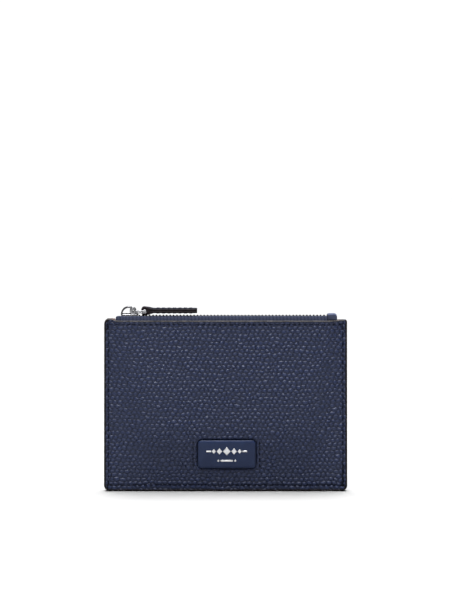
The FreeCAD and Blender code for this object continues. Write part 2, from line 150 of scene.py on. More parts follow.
# ------------------------------------------------------------------ leather relief
class Grain:
    """Pebbled leather: rounded cells on a jittered, staggered grid."""

    pitch_x = 2.65
    pitch_z = 2.1
    jitter = 0.22

    def __init__(self, seed):
        self.seed = seed
        self.cells = {}

    def cell(self, i, j):
        key = (i, j)
        if key not in self.cells:
            mixed = i * 7919 + j * 104729 + self.seed * 1299709
            rnd = random.Random(mixed & 0xFFFFFFF)
            cx = i + 0.5 * (j % 2) + rnd.uniform(-self.jitter, self.jitter)
            cz = j + rnd.uniform(-self.jitter, self.jitter)
            self.cells[key] = (cx, cz, rnd.uniform(0.6, 1.0))
        return self.cells[key]

    def height(self, x, z):
        """0 in a crease, up to 1 on a pebble's crown."""
        wander = noise.noise(Vector((x * 0.16, z * 0.16, self.seed)))
        drift = noise.noise(Vector((x * 0.14, z * 0.14, self.seed + 5.0)))
        u = (x + 0.8 * wander) / self.pitch_x + 0.075 * z / self.pitch_z
        v = (z + 0.8 * drift) / self.pitch_z
        j0 = math.floor(v)
        first = second = 9.0
        tall = 1.0
        for j in range(j0 - 1, j0 + 3):
            i0 = math.floor(u - 0.5 * (j % 2))
            for i in range(i0 - 1, i0 + 3):
                cx, cz, h = self.cell(i, j)
                d = math.hypot(u - cx, v - cz)
                if d < first:
                    second = first
                    first = d
                    tall = h
                elif d < second:
                    second = d
        swell = min(1.0, (second - first) / 0.8)
        return (1 - (1 - swell) ** 2) * tall


FRONT_GRAIN = Grain(11)
BACK_GRAIN = Grain(23)
FRONT_DEPTH = 0.36
BACK_DEPTH = 0.30
SLOT_GRAIN_DEPTH = 0.26


def groove(distance, width):
    """1 on a line, falling to 0 at width from it."""
    return math.exp(-(distance / width) ** 2)


def stitch_centres(a, b):
    """Centres of the stitches on a straight run from a to b."""
    count = round(abs(b - a) / STITCH_PITCH)
    return [a + (b - a) * (i + 0.5) / count for i in range(count)]


def hole_depth(t, pitch, start):
    """Needle holes lie halfway between the stitches."""
    phase = (t - start) / pitch
    off = abs(phase - round(phase)) * pitch
    return groove(off, 0.42)


def side_stitch_x(z):
    """Distance of the side seams from the middle at height z."""
    return HALF_W - SIDE_STITCH - NARROWING * clamp((z - BOTTOM_STITCH) / STITCH_RUN)


def stitch_press(off, t, length, start):
    """Depth at a distance off a stitched line of that length, t along it."""
    pitch = length / round(length / STITCH_PITCH)
    return 0.10 * groove(off, 0.5) + 0.28 * groove(off, 0.38) * hole_depth(t, pitch, start)


def seam_relief(x, z):
    """Depth pressed in by the seam's stitches."""
    depth = 0.0
    side_x = side_stitch_x(z)
    d_side = abs(abs(x) - side_x)
    if d_side < 1.2 and BOTTOM_STITCH - 1 < z < HEIGHT - 1:
        depth = max(depth, stitch_press(d_side, z, STITCH_RUN, BOTTOM_STITCH))
    for line_z in (BOTTOM_STITCH, HEIGHT - MOUTH_STITCH):
        d_line = abs(z - line_z)
        if d_line < 1.2 and abs(x) < side_x + 1:
            half = side_stitch_x(line_z)
            depth = max(depth, stitch_press(d_line, x, 2 * half, -half))
    return depth


def label_distance(x, z):
    """Distance outside the label's rounded outline, negative inside it."""
    dx = abs(x - LABEL_CX) - LABEL_HW + LABEL_R
    dz = abs(z - LABEL_CZ) - LABEL_HH + LABEL_R
    return math.hypot(max(dx, 0), max(dz, 0)) + min(max(dx, dz), 0.0) - LABEL_R


def rim_calm(rim):
    """Share of the grain's depth left at a distance from the nearest edge."""
    return 0.45 + 0.55 * smooth((rim - 0.6) / 2.2)


def front_relief(x, z):
    """Displacement of the front leather, and how much of a crown it is there."""
    h = FRONT_GRAIN.height(x, z)
    d = label_distance(x, z)
    amount = 1.0
    press = 0.0
    if d < 4.0:
        beside = abs(z - LABEL_CZ) < LABEL_HH + 0.5
        if beside:
            amount *= 0.25 + 0.75 * smooth((d - 2.8) / 1.4)
        press = 0.95 * groove(max(d, 0.0), 0.62)
        # Lowering h presses the leather in round the label and also darkens its colour there:
        # painted shade in the groove round the label.
        h *= smooth((d + 0.1) / 1.1)
        low, high = LABEL_STITCH_Z
        for line_x in LABEL_STITCH_X:
            off = abs(x - line_x)
            if off < 1.0 and beside:
                hole = hole_depth(z, (high - low) / 5, low)
                press += 0.16 * groove(off, 0.6) + 0.3 * groove(off, 0.35) * hole
    rim = min(HALF_W - abs(x), z, mouth_z(x) - z)
    amount *= rim_calm(rim)
    amount *= 0.6 + 0.45 * smooth((x + 55) / 50)
    swell = 0.05 * noise.noise(Vector((x * 0.035, z * 0.04, 2.0))) * smooth(rim / 6)
    return FRONT_DEPTH * amount * (h - 1.0) + swell - press - seam_relief(x, z), h


def back_relief(x, z):
    h = BACK_GRAIN.height(x, z)
    rim = min(HALF_W - abs(x), z, mouth_z(x) - z)
    return BACK_DEPTH * rim_calm(rim) * (h - 1.0) - seam_relief(x, z), h


# ------------------------------------------------------------------ mesh helpers
def mesh_piece(name, verts, faces, body, material, replaces, slot, crown=None, sharp=None):
    """Object from vertices in millimetres, riding on a body; sharp is in degrees."""
    mesh = bpy.data.meshes.new(name)
    mesh.from_pydata([tuple(c * MM for c in v) for v in verts], [], faces)
    mesh.validate()
    mesh.update()
    mesh.shade_smooth()
    if crown is not None:
        layer = mesh.attributes.new("crown", "FLOAT", "POINT")
        layer.data.foreach_set("value", crown)
    obj = bpy.data.objects.new(name, mesh)
    bpy.context.scene.collection.objects.link(obj)
    obj.data.materials.append(material)
    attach(obj, body)
    if replaces:
        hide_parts(*replaces)
    if sharp:
        mesh.set_sharp_from_angle(angle=math.radians(sharp))
    return obj


def outward_piece(name, verts, faces, *rest, **options):
    """Mesh piece whose faces are first turned outwards."""
    bm = bmesh.new()
    made = [bm.verts.new(v) for v in verts]
    for face in faces:
        try:
            bm.faces.new([made[i] for i in face])
        except ValueError:
            continue
    bmesh.ops.recalc_face_normals(bm, faces=bm.faces)
    return mesh_piece(name, *bm_lists(bm), *rest, **options)


def steps(stops):
    """Values along [(start, step), ..., end]: each run uses its own step."""
    values = []
    for (start, step), following in zip(stops[:-1], stops[1:]):
        end = following[0] if isinstance(following, tuple) else following
        count = max(1, round((end - start) / step))
        values += [start + (end - start) * i / count for i in range(count)]
    values.append(stops[-1])
    return values


def weave(width, height, close_u=False, close_v=False):
    """Quads of a grid of vertices numbered row by row."""
    faces = []
    for j in range(height if close_v else height - 1):
        for i in range(width if close_u else width - 1):
            k = (j + 1) % height
            right = (i + 1) % width
            faces.append((j * width + i, j * width + right, k * width + right, k * width + i))
    return faces


def turned(faces):
    return [tuple(reversed(face)) for face in faces]


def slab_faces(width, height):
    """Faces of two stacked grids, the front one first, closed round their rim."""
    front = weave(width, height)
    back = width * height
    faces = front + turned([[i + back for i in face] for face in front])
    rim = list(range(width)) + [j * width + width - 1 for j in range(1, height)]
    rim += [(height - 1) * width + i for i in reversed(range(width - 1))]
    rim += [j * width for j in reversed(range(1, height - 1))]
    for a, b in zip(rim, rim[1:] + rim[:1]):
        faces.append((b, a, a + back, b + back))
    return faces


def leather_sheet(name, node, side, outer, relief, zs, us, z_of, thick):
    """Leather sheet with relief outside and a plain face inside, closed all round."""
    verts = []
    crown = []

    def add_row(z, inner):
        halves = {s: edge_x(z, s, INSET) for s in (-1, 1)}
        for u in us:
            x = u * halves[1 if u > 0 else -1]
            zz = z_of(x, z)
            d, h = (-thick, 0.4) if inner else relief(x, zz)
            verts.append((x, side * (outer(x, zz) + d), zz))
            crown.append(h)

    inner_zs = [zs[-1]]
    inner_zs += [zs[round((len(zs) - 1) * t)] for t in (0.95, 0.85, 0.7, 0.5, 0.3, 0.1)]
    inner_zs.append(zs[0])
    for z in zs:
        add_row(z, False)
    for z in inner_zs:
        add_row(z, True)
    n = len(us)
    rows = len(zs) + len(inner_zs)
    faces = weave(n, rows, close_v=True)
    faces += [[r * n for r in range(rows)], [r * n + n - 1 for r in reversed(range(rows))]]
    if side > 0:
        faces = turned(faces)
    mesh_piece(name, verts, faces, "pouch", GRAINED, (node,), "grained_leather", crown)


def capped_rows(verts, n):
    """Faces of rings of n vertices one after another, closed at both ends."""
    rows = len(verts) // n
    faces = weave(n, rows, close_u=True)
    return faces + [tuple(reversed(range(n))), tuple(range((rows - 1) * n, rows * n))]


def tube(path, ring):
    """Sweep: path gives (centre, axis_a, axis_b); ring gives (a, b) offsets."""
    verts = [tuple(centre + va * a + vb * b) for centre, va, vb in path for a, b in ring]
    return verts, capped_rows(verts, len(ring))


def merge(parts):
    """One vertex and face list from several."""
    verts = []
    faces = []
    for vs, fs in parts:
        base = len(verts)
        verts += vs
        faces += [tuple(i + base for i in f) for f in fs]
    return verts, faces


def bm_lists(bm):
    bm.verts.ensure_lookup_table()
    bm.verts.index_update()
    verts = [tuple(v.co) for v in bm.verts]
    faces = [tuple(v.index for v in f.verts) for f in bm.faces]
    bm.free()
    return verts, faces


def bevelled_prism(outline, lo, hi, place, bevel, segments=2):
    """Prism over a 2D outline between lo and hi; place maps (u, v, w) to X, Y, Z."""
    bm = bmesh.new()
    base = [bm.verts.new((u, v, lo)) for u, v in outline]
    face = bm.faces.new(base)
    out = bmesh.ops.extrude_face_region(bm, geom=[face])
    up = [g for g in out["geom"] if isinstance(g, bmesh.types.BMVert)]
    bmesh.ops.translate(bm, verts=up, vec=(0, 0, hi - lo))
    bmesh.ops.recalc_face_normals(bm, faces=bm.faces)
    if bevel:
        sharp = [e for e in bm.edges if e.calc_face_angle(0) > 0.5]
        bmesh.ops.bevel(bm, geom=sharp, offset=bevel, segments=segments, profile=0.6,
                        affect="EDGES", clamp_overlap=True)
    for v in bm.verts:
        v.co = place(*v.co)
    bmesh.ops.recalc_face_normals(bm, faces=bm.faces)
    return bm_lists(bm)


def plan(u, v, w):
    return Vector((u, v, w))


def elevation(u, v, w):
    return Vector((u, w, v))


def plate(loops, y0, y1, bevel):
    """Plate upright in XZ between y0 and y1, with holes and rounded edges."""
    curve = bpy.data.curves.new("tmp_plate", "CURVE")
    curve.dimensions = "2D"
    curve.fill_mode = "BOTH"
    for loop in loops:
        spline = curve.splines.new("POLY")
        spline.points.add(len(loop) - 1)
        for p, (x, z) in zip(spline.points, loop):
            p.co = (x, z, 0, 1)
        spline.use_cyclic_u = True
    curve.extrude = (y1 - y0) / 2 - bevel
    curve.bevel_depth = bevel
    curve.bevel_resolution = 2
    curve.offset = -bevel
    holder = bpy.data.objects.new("tmp_plate", curve)
    mesh = bpy.data.meshes.new_from_object(holder)
    mid = (y0 + y1) / 2
    bm = bmesh.new()
    bm.from_mesh(mesh)
    bmesh.ops.remove_doubles(bm, verts=bm.verts, dist=0.002)
    for v in bm.verts:
        v.co = (v.co.x, mid + v.co.z, v.co.y)
    bmesh.ops.recalc_face_normals(bm, faces=bm.faces)
    bpy.data.objects.remove(holder)
    bpy.data.meshes.remove(mesh)
    bpy.data.curves.remove(curve)
    return bm_lists(bm)


def polar(cx, cz, r, degrees):
    angle = math.radians(degrees)
    return cx + r * math.cos(angle), cz + r * math.sin(angle)


def arc_points(cx, cz, r, a0, a1, n):
    return [polar(cx, cz, r, a0 + (a1 - a0) * i / (n - 1)) for i in range(n)]


# ------------------------------------------------------------------ materials
class Shade:
    """Small helper to wire a procedural material."""

    def __init__(self, name):
        self.mat = bpy.data.materials.new(name)
        self.mat.use_nodes = True
        self.nodes = self.mat.node_tree.nodes
        self.links = self.mat.node_tree.links
        self.bsdf = self.nodes["Principled BSDF"]
        self.coord = self.nodes.new("ShaderNodeTexCoord").outputs["Object"]

    def set(self, **values):
        for key, value in values.items():
            self.bsdf.inputs[key.replace("_", " ")].default_value = value
        return self

    def texture(self, kind, vector=None, **values):
        node = self.nodes.new("ShaderNodeTex" + kind)
        for key, value in values.items():
            node.inputs[key].default_value = value
        self.links.new(vector or self.coord, node.inputs["Vector"])
        return node

    def stretched(self, scale):
        node = self.nodes.new("ShaderNodeMapping")
        node.inputs["Scale"].default_value = scale
        self.links.new(self.coord, node.inputs["Vector"])
        return node.outputs["Vector"]

    def noise(self, scale, detail=3.0, rough=0.5, vector=None):
        node = self.texture("Noise", vector, Scale=scale, Detail=detail, Roughness=rough)
        return node.outputs["Fac"]

    def cells(self, scale):
        return self.texture("Voronoi", Scale=scale).outputs["Distance"]

    def wave(self, scale, direction, distortion):
        node = self.texture("Wave", Scale=scale, Distortion=distortion, Detail=0.0)
        node.bands_direction = direction
        return node.outputs["Fac"]

    def attribute(self, name):
        node = self.nodes.new("ShaderNodeAttribute")
        node.attribute_name = name
        return node.outputs["Fac"]

    def ramp(self, fac, stops):
        node = self.nodes.new("ShaderNodeValToRGB")
        ramp = node.color_ramp
        while len(ramp.elements) < len(stops):
            ramp.elements.new(0.5)
        for element, (pos, color) in zip(ramp.elements, stops):
            element.position = pos
            if isinstance(color, (int, float)):
                color = (color, color, color)
            element.color = (*color, 1.0)
        self.links.new(fac, node.inputs["Fac"])
        return node.outputs["Color"]

    def math(self, kind, a, b):
        node = self.nodes.new("ShaderNodeMath")
        node.operation = kind
        for socket, value in zip(node.inputs, (a, b)):
            if isinstance(value, (int, float)):
                socket.default_value = value
            else:
                self.links.new(value, socket)
        return node.outputs[0]

    def mix(self, fac, a, b):
        node = self.nodes.new("ShaderNodeMix")
        node.data_type = "RGBA"
        for key, value in (("Factor", fac), ("A", a), ("B", b)):
            socket = [s for s in node.inputs if s.name == key and s.enabled][0]
            if isinstance(value, tuple):
                socket.default_value = (*value, 1.0)
            else:
                self.links.new(value, socket)
        return [s for s in node.outputs if s.enabled][0]

    def color(self, output):
        self.links.new(output, self.bsdf.inputs["Base Color"])

    def rough(self, fac, share, base):
        """Roughness of base plus a share of fac."""
        value = self.math("ADD", self.math("MULTIPLY", fac, share), base)
        self.links.new(value, self.bsdf.inputs["Roughness"])

    def bump(self, *layers):
        """Layers of (height output, distance in mm), stacked."""
        previous = None
        for height, distance in layers:
            node = self.nodes.new("ShaderNodeBump")
            node.inputs["Strength"].default_value = 1.0
            node.inputs["Distance"].default_value = distance * MM
            self.links.new(height, node.inputs["Height"])
            if previous:
                self.links.new(previous, node.inputs["Normal"])
            previous = node.outputs["Normal"]
        self.links.new(previous, self.bsdf.inputs["Normal"])
        return self


def grained_leather():
    s = Shade("grained_navy_leather")
    crown = s.attribute("crown")
    mottle = s.noise(55, 4, 0.6)
    fine = s.noise(900, 3, 0.6)
    # The crown ramp darkens the creases and lightens the crowns: painted shade in the creases and
    # a painted highlight on the pebbles, over the leather's own navy.
    tone = s.ramp(crown, [(0.0, (0.003, 0.005, 0.015)), (0.3, (0.011, 0.018, 0.052)),
                          (0.85, (0.0175, 0.0285, 0.084))])
    tone = s.mix(s.ramp(mottle, [(0.3, 0.0), (0.72, 0.4)]), tone, (0.019, 0.026, 0.060))
    tone = s.mix(s.ramp(fine, [(0.35, 0.0), (0.7, 0.22)]), tone, (0.005, 0.007, 0.018))
    s.color(tone)
    s.rough(fine, 0.2, s.math("ADD", s.math("MULTIPLY", crown, -0.30), 0.58))
    pores = s.cells(2600)
    wrinkle = s.noise(1700, 5, 0.65)
    s.set(Specular_IOR_Level=0.36)
    return s.bump((crown, 0.55), (pores, 0.030), (wrinkle, 0.03)).mat


def smooth_leather(name, dark, light, rough, specular):
    s = Shade(name)
    mottle = s.noise(120, 5, 0.6)
    fine = s.noise(2200, 4, 0.6)
    tone = s.ramp(mottle, [(0.3, dark), (0.7, light)])
    tone = s.mix(s.ramp(fine, [(0.4, 0.0), (0.75, 0.25)]), tone, tuple(c * 0.6 for c in dark))
    s.color(tone)
    s.rough(fine, 0.16, rough - 0.08)
    return s.set(Specular_IOR_Level=specular).bump((s.cells(3400), 0.016), (fine, 0.016)).mat


def strap_leather():
    """Dark strap whose cut edges are painted; crown is 1 on its faces, 0 on the edges."""
    s = Shade("strap_leather")
    part = s.attribute("crown")
    mottle = s.noise(700, 4, 0.6)
    face = s.ramp(mottle, [(0.3, (0.003, 0.0035, 0.006)), (0.7, (0.008, 0.009, 0.014))])
    cut = s.ramp(mottle, [(0.3, (0.006, 0.005, 0.006)), (0.7, (0.017, 0.014, 0.015))])
    tone = s.mix(s.ramp(part, [(0.55, 0.0), (0.9, 1.0)]), cut, face)
    # The light band where crown is near 0.5, on each ply's inner rounded edge, is a painted
    # highlight along the line between the two plies.
    s.color(s.mix(s.ramp(part, [(0.3, 0.0), (0.5, 0.7), (0.62, 0.0)]), tone,
                  (0.060, 0.055, 0.058)))
    s.rough(mottle, 0.2, 0.6)
    return s.set(Specular_IOR_Level=0.03).bump((mottle, 0.03)).mat


def edge_paint(name, low, mid, high):
    s = Shade(name)
    body = s.noise(420, 4, 0.6)
    tone = s.ramp(body, [(0.3, low), (0.62, mid), (0.8, high)])
    s.color(tone)
    s.rough(body, 0.3, 0.42)
    return s.set(Specular_IOR_Level=0.06).bump((s.noise(1300, 3), 0.03)).mat


def thread_cloth(name, dark, light):
    s = Shade(name)
    fibre = s.noise(5200, 3, 0.7)
    s.color(s.ramp(fibre, [(0.3, dark), (0.7, light)]))
    s.rough(fibre, 0.25, 0.5)
    return s.set(Specular_IOR_Level=0.05).bump((fibre, 0.03)).mat


def tape_cloth():
    s = Shade("zip_tape_cloth")
    ribs = s.wave(520, "X", 1.2)
    cross = s.wave(900, "Z", 0.6)
    depth = s.wave(900, "Y", 0.6)
    knit = s.math("MULTIPLY", ribs, s.math("ADD", cross, depth))
    chain = s.wave(172.6, "X", 1.6)
    knit = s.math("ADD", s.math("MULTIPLY", knit, 0.5), s.math("MULTIPLY", chain, 0.34))
    knit = s.math("ADD", knit, s.math("MULTIPLY", s.noise(900, 2, 0.5), 0.25))
    fuzz = s.noise(3000, 3, 0.7)
    tone = s.ramp(knit, [(0.0, (0.012, 0.014, 0.027)), (1.0, (0.074, 0.087, 0.142))])
    s.color(s.mix(s.ramp(fuzz, [(0.35, 0.0), (0.75, 0.35)]), tone, (0.018, 0.021, 0.040)))
    s.rough(fuzz, 0.2, 0.62)
    return s.set(Specular_IOR_Level=0.05).bump((knit, 0.05), (fuzz, 0.03)).mat


def lining_cloth():
    s = Shade("lining_cloth")
    warp = s.wave(1000, "X", 0.4)
    weft = s.wave(1000, "Z", 0.4)
    weave = s.math("ADD", warp, weft)
    fuzz = s.noise(2600, 3, 0.7)
    s.color(s.ramp(s.math("MULTIPLY", weave, 0.5),
                   [(0.1, (0.025, 0.006, 0.006)), (0.9, (0.075, 0.018, 0.016))]))
    s.rough(fuzz, 0.2, 0.65)
    return s.bump((weave, 0.04), (fuzz, 0.02)).mat


def polished_metal(name, low, high, rough, edge):
    s = Shade(name)
    haze = s.noise(300, 5, 0.7)
    lines = s.noise(2600, 2, 0.5, s.stretched((0.12, 1.0, 1.0)))
    s.color(s.ramp(haze, [(0.3, low), (0.7, high)]))
    s.rough(lines, 0.14, rough)
    return s.set(Metallic=1.0, Specular_Tint=(edge, edge, edge, 1.0)).bump((lines, 0.003)).mat


def foil_print():
    s = Shade("silver_foil")
    flake = s.noise(1500, 4, 0.7)
    s.color(s.ramp(flake, [(0.3, (0.62, 0.62, 0.64)), (0.7, (0.86, 0.86, 0.87))]))
    s.rough(flake, 0.25, 0.25)
    return s.set(Metallic=0.75).bump((flake, 0.01)).mat


def studio_white():
    s = Shade("studio_white")
    grit = s.noise(14, 5, 0.6)
    s.color(s.ramp(grit, [(0.3, (0.26, 0.26, 0.26)), (0.7, (0.275, 0.275, 0.275))]))
    s.rough(grit, 0.1, 0.75)
    return s.set(Specular_IOR_Level=0.2).mat


GRAINED = grained_leather()
LABEL_LEATHER = smooth_leather("label_leather", (0.011, 0.021, 0.064), (0.016, 0.029, 0.079),
                               0.42, 0.22)
STRAP_LEATHER = strap_leather()
# The end tab's navy leather is lightened overall in place of its sheen: leather colour plus
# painted sheen.
TAB_LEATHER_AND_SHEEN = smooth_leather("end_tab_leather", (0.040, 0.048, 0.084), (0.066, 0.075, 0.118),
                             0.6, 0.05)
EDGE = edge_paint("edge_paint", (0.007, 0.006, 0.007), (0.013, 0.0115, 0.0125),
                  (0.028, 0.023, 0.022))
# The mouth's edge paint is a much lighter copy of the dark side-edge paint: painted highlight of
# the light on the top edges.
MOUTH_EDGE_LIT = edge_paint("mouth_edge_paint_lit", (0.035, 0.033, 0.034), (0.085, 0.080, 0.078),
                        (0.15, 0.135, 0.125))
THREAD = thread_cloth("navy_thread", (0.002, 0.003, 0.007), (0.009, 0.011, 0.024))
# The label's stitches use a near-black copy of the navy thread: painted shade of their needle
# holes.
LABEL_THREAD_SHADED = thread_cloth("label_thread_shaded", (0.0005, 0.0008, 0.002),
                            (0.002, 0.003, 0.006))
TAPE_CLOTH = tape_cloth()
LINING_CLOTH = lining_cloth()
CHROME = polished_metal("slider_chrome", (0.19, 0.19, 0.20), (0.29, 0.29, 0.30), 0.07, 0.2)
# The silver teeth and staples get a near-black metal colour: painted shade and painted dark
# reflection, as under the pull strap.
TOOTH_METAL_SHADED = polished_metal("tooth_metal_shaded", (0.018, 0.02, 0.028), (0.05, 0.054, 0.068),
                             0.26, 0.08)
# The arch is a darker copy of the slider's chrome: painted dark reflection on the bridge.
ARCH_METAL_SHADED = polished_metal("arch_chrome_shaded", (0.07, 0.07, 0.075), (0.12, 0.12, 0.125),
                            0.12, 0.12)
LINK_METAL = polished_metal("link_chrome", (0.24, 0.24, 0.25), (0.34, 0.34, 0.35),
                            0.24, 0.15)
FOIL = foil_print()
WHITE = studio_white()


# ------------------------------------------------------------------ leather pouch
INSET = 0.55
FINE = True
MAIN_STEP = 0.42 if FINE else 0.7


def sheet_z(x, z):
    """Nominal height to real height, which follows the raised corners."""
    return z + (mouth_z(x) - HEIGHT) * smooth((z - 80.0) / 11.0)


def rim_to_rim(step):
    """Shares of the half width from rim to rim, denser along both rims."""
    return steps([(-1.0, 0.0036), (-0.945, step), (0.945, 0.0036), 1.0])


def wall_sheets():
    us = rim_to_rim(0.0001 + MAIN_STEP / HALF_W)
    rim = [(88.6, 0.26), (91.2, 0.15), HEIGHT - 0.1]
    front_zs = steps([(INSET, 0.13), (1.3, 0.26), (4.7, MAIN_STEP), *rim])
    back_zs = steps([(INSET, 0.2), (3.0, 3.0), (68.0, MAIN_STEP), *rim])
    for name, side, relief, zs in (("front", -1, front_relief, front_zs),
                                   ("back", 1, back_relief, back_zs)):
        leather_sheet(f"{name}_leather", f"{name}_panel", side,
                      lambda x, z: half_thickness(x, z, side), relief, zs, us, sheet_z,
                      LEATHER)


wall_sheets()


def slot_strips():
    """The stepped card slots, each with its own pebbled face."""
    names = ("upper", "middle", "lower")
    us = rim_to_rim(MAIN_STEP * 1.1 / HALF_W)
    for order, (name, top) in enumerate(zip(names, SLOT_TOPS)):
        bottom = max(INSET, top - SLOT_DEPTH)
        grain = Grain(31 + order)

        def outer(x, z, order=order):
            return half_thickness(x, z, 1) + slot_offset(order, z) + STRIP

        def relief(x, z, grain=grain, top=top):
            h = grain.height(x, z)
            rim = min(HALF_W - abs(x), z, (top - z) * 0.8)
            crease = 0.10 * groove(z - top + 1.7, 0.28)
            return SLOT_GRAIN_DEPTH * rim_calm(rim) * (h - 1.0) - crease - seam_relief(x, z), h

        covered = order < len(SLOT_TOPS) - 1
        shown = top - 13.0 if covered else bottom
        zs = steps([(bottom, 3.0 if covered else 0.15), (max(shown, bottom + 0.8), MAIN_STEP),
                    (top - 2.6, 0.2), top - 0.12])
        leather_sheet(f"card_slot_{name}_leather", f"card_slot_{name}", 1, outer, relief,
                      zs, us, lambda x, z: z, STRIP)


slot_strips()


def slot_edges():
    """Painted, rounded top edge of each strip."""
    parts = []
    ring = [(0.05, -0.45), (0.03, -0.2), (-0.04, -0.06), (-0.18, 0.0), (-0.42, 0.0),
            (-0.56, -0.06), (-0.62, -0.2), (-0.62, -0.45)]
    for order, top in enumerate(SLOT_TOPS):
        half = edge_x(top) - 0.4
        path = []
        for x in steps([(-half, 0.8), half]):
            y = half_thickness(x, top - 0.2, 1) + slot_offset(order, top) + STRIP
            wobble = 0.02 * noise.noise(Vector((x * 0.5, top, 0)))
            path.append((Vector((x, y + wobble, top)), Vector((0, 1, 0)), Vector((0, 0, 1))))
        parts.append(tube(path, ring))
    mesh_piece("card_slot_painted_edges", *merge(parts), "pouch", EDGE, (), "core_leather")


slot_edges()


def seam_path():
    """Points (x, z) and outward normals round the closed sides and bottom."""
    points = []

    def add(x, z, nx, nz):
        points.append((x, z, nx, nz))

    def add_arc(cx, cz, r, a0, a1, n):
        for (x, z), normal in zip(arc_points(cx, cz, r, a0, a1, n),
                                  arc_points(0, 0, 1, a0, a1, n)):
            add(x, z, *normal)

    top_x = HALF_W - NARROWING
    levels = steps([(R_BOTTOM + 0.4, 0.7), HEIGHT - R_TOP - 0.2])
    for top in SLOT_TOPS:
        levels += [top - 0.06, top + 0.06]
    levels.sort()
    add_arc(-top_x + R_TOP, HEIGHT + EAR_L - R_TOP, R_TOP, 92, 180, 14)
    for z in reversed(levels):
        add(-edge_x(z), z, -1, 0)
    add_arc(-HALF_W + R_BOTTOM, R_BOTTOM, R_BOTTOM, 180, 270, 14)
    for x in steps([(-HALF_W + R_BOTTOM + 0.5, 0.7), HALF_W - R_BOTTOM - 0.5]):
        add(x, 0.0, 0, -1)
    add_arc(HALF_W - R_BOTTOM, R_BOTTOM, R_BOTTOM, 270, 360, 14)
    for z in levels + [HEIGHT - R_TOP + 0.5, HEIGHT - R_TOP_RIGHT - 0.1]:
        add(edge_x(z, 1), z, 1, 0)
    add_arc(top_x - R_TOP_RIGHT, HEIGHT + EAR_R - R_TOP_RIGHT, R_TOP_RIGHT, 0, 88, 14)
    return points


def seam_profile(z, wobble):
    """Cross-section of the painted edge, front to back: (depth in, y)."""
    front = -SEAM_HALF
    back = SEAM_HALF + slot_build_up(z)
    layers = [front + LEATHER + 0.02, SEAM_HALF - LEATHER - 0.02]
    layers += [SEAM_HALF + slot_offset(order, z)
               for order, top in enumerate(SLOT_TOPS) if top - SLOT_DEPTH <= z <= top]
    ring = [(1.15, front + 0.35), (1.0, front + 0.06), (0.86, front - 0.02),
            (0.6, front - 0.015), (0.36, front + 0.1), (0.17, front + 0.32)]
    count = 17
    for i in range(count):
        y = front + 0.55 + (back - front - 1.0) * i / (count - 1)
        dip = sum(0.07 * groove(y - at, 0.09) for at in layers)
        ring.append((0.03 + dip + wobble, y))
    ring += [(0.14, back - 0.25), (0.32, back - 0.08), (0.55, back + 0.015),
             (0.8, back + 0.02), (0.95, back - 0.06), (1.15, back - 0.35)]
    return ring


def painted_seam():
    verts = []
    count = 0
    for x, z, nx, nz in seam_path():
        wobble = 0.03 * noise.noise(Vector((x * 0.4, z * 0.4, 7.0)))
        ring = seam_profile(z, max(-0.02, wobble))
        count = len(ring)
        verts += [(x - nx * d, y, z - nz * d) for d, y in ring]
    faces = capped_rows(verts, count)
    faces = faces[:-2] + turned(faces[-2:])
    mesh_piece("painted_seam", verts, faces, "pouch", EDGE, ("edge_welt",), "core_leather")


painted_seam()


def mouth_edges():
    """Rounded painted edge along each wall's mouth, over the corners too."""
    ring = [(0.0, -0.4), (0.015, -0.2), (-0.03, -0.08), (-0.16, -0.01), (-0.4, 0.02),
            (-0.66, 0.02), (-0.92, -0.03), (-1.07, -0.16), (-1.1, -0.36), (-1.08, -0.62)]
    for side, name in ((-1, "front"), (1, "back")):
        path = []
        for x in steps([(-62.9, 0.35), (-57.0, 0.6), (57.0, 0.35), 62.9]):
            z = mouth_z(x) - 0.02
            z += 0.02 * noise.noise(Vector((x * 0.7, side, 3.0)))
            y = half_thickness(x, z - 0.3, side)
            y += 0.02 * noise.noise(Vector((x * 0.5, 9.0, side)))
            path.append((Vector((x, side * y, z)), Vector((0, side, 0)), Vector((0, 0, 1))))
        verts, faces = tube(path, ring)
        if side > 0:
            faces = turned(faces)
        # Drawn in the lighter copy of the edge paint: painted highlight on the mouth's top edge.
        mesh_piece(f"mouth_edge_{name}", verts, faces, "pouch", MOUTH_EDGE_LIT, (), "core_leather")


mouth_edges()


def linings():
    """Burgundy cloth inside each wall, a little higher at the zip's two ends."""
    inner = HALF_W - SEAM_BAND - 0.3
    depth = LEATHER + 0.4 + 2 * GAP
    bottom = 3.1
    ts = [0.0, 0.1, 0.25, 0.4, 0.55, 0.7, 0.8, 0.88, 0.94, 0.98, 1.0]
    xs = steps([(-inner, 0.3), (-57.5, 2.4), (57.5, 0.3), inner])

    def top(x):
        left = 2.3 * smooth((-x - 58.4) / 0.5)
        right = 1.6 * smooth((x - 59.3) / 0.5)
        return 90.4 + left + right

    for side, name in ((-1, "front"), (1, "back")):
        verts = []
        for face, levels in ((0.02, ts), (0.28, ts[::-1])):
            for t in levels:
                for x in xs:
                    z = bottom + (top(x) - bottom) * t
                    y = half_thickness(x, z, side) - depth - face
                    y += 0.03 * noise.noise(Vector((x * 0.2, z * 0.2, side)))
                    verts.append((x, side * y, z))
        n = len(xs)
        rows = 2 * len(ts)
        faces = weave(n, rows, close_v=True)
        faces += [[r * n for r in range(rows)], [r * n + n - 1 for r in reversed(range(rows))]]
        if side > 0:
            faces = turned(faces)
        obj = mesh_piece(f"{name}_lining_cloth", verts, faces, "pouch", LINING_CLOTH,
                         (f"{name}_lining",), "lining_cloth")


linings()


# ------------------------------------------------------------------ label
def label_dome(dx, dz):
    """Swell of the label's face at an offset from its centre."""
    return LABEL_DOME * (1 - (abs(dx) / LABEL_HW) ** 4) * (1 - (abs(dz) / LABEL_HH) ** 2.5)


